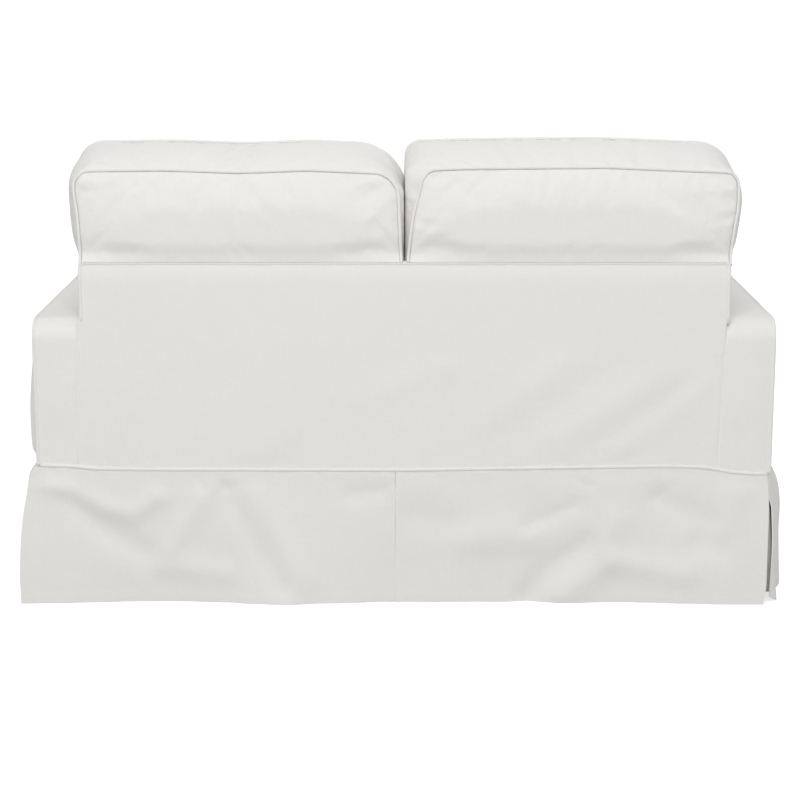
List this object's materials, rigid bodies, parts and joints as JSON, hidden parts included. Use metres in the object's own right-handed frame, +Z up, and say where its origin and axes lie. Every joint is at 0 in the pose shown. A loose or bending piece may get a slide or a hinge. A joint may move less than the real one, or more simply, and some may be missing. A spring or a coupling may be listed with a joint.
{
  "type": "fitted slipcover for a two-seat sofa, with its boxed cushions",
  "caption": "White cotton slipcover for a small sofa: piped panels, a tailored skirt slit at the corners, and piped box cushions on the seat and back.",
  "frame": {"origin": "on the floor, under the middle of the cover", "axes": "+X to the sofa's left side, +Y to its back, +Z up; the seat faces -Y"},
  "size_m": [1.553, 0.963, 0.9168],
  "materials": {
    "cotton_duck": "matt white cotton duck, washed, softly creased",
    "cotton_piping": "bias-cut white cotton over a round cord",
    "cushion_cotton": "matt white cotton duck over a soft filling"
  },
  "bodies": {
    "root": {"arm_band_left": "cotton_duck", "arm_band_right": "cotton_duck", "arm_front_left": "cotton_duck", "arm_front_right": "cotton_duck", "arm_front_welt_left": "cotton_piping", "arm_front_welt_right": "cotton_piping", "arm_inner_left": "cotton_duck", "arm_inner_right": "cotton_duck", "arm_outer_left": "cotton_duck", "arm_outer_right": "cotton_duck", "arm_side_welt_left": "cotton_piping", "arm_side_welt_right": "cotton_piping", "back_band": "cotton_duck", "back_cushion_left": "cushion_cotton", "back_cushion_left_welt_front": "cotton_piping", "back_cushion_left_welt_rear": "cotton_piping", "back_cushion_right": "cushion_cotton", "back_cushion_right_welt_front": "cotton_piping", "back_cushion_right_welt_rear": "cotton_piping", "back_welt": "cotton_piping", "inside_back": "cotton_duck", "outside_back": "cotton_duck", "pleat_underlay_back_left": "cotton_duck", "pleat_underlay_back_right": "cotton_duck", "pleat_underlay_front_left": "cotton_duck", "pleat_underlay_front_right": "cotton_duck", "seat_cushion_left": "cushion_cotton", "seat_cushion_left_welt_lower": "cotton_piping", "seat_cushion_left_welt_upper": "cotton_piping", "seat_cushion_right": "cushion_cotton", "seat_cushion_right_welt_lower": "cotton_piping", "seat_cushion_right_welt_upper": "cotton_piping", "seat_deck": "cotton_duck", "skirt_back_left": "cotton_duck", "skirt_back_right": "cotton_duck", "skirt_front": "cotton_duck", "skirt_side_left": "cotton_duck", "skirt_side_right": "cotton_duck", "skirt_welt": "cotton_piping"}
  },
  "joints": []
}
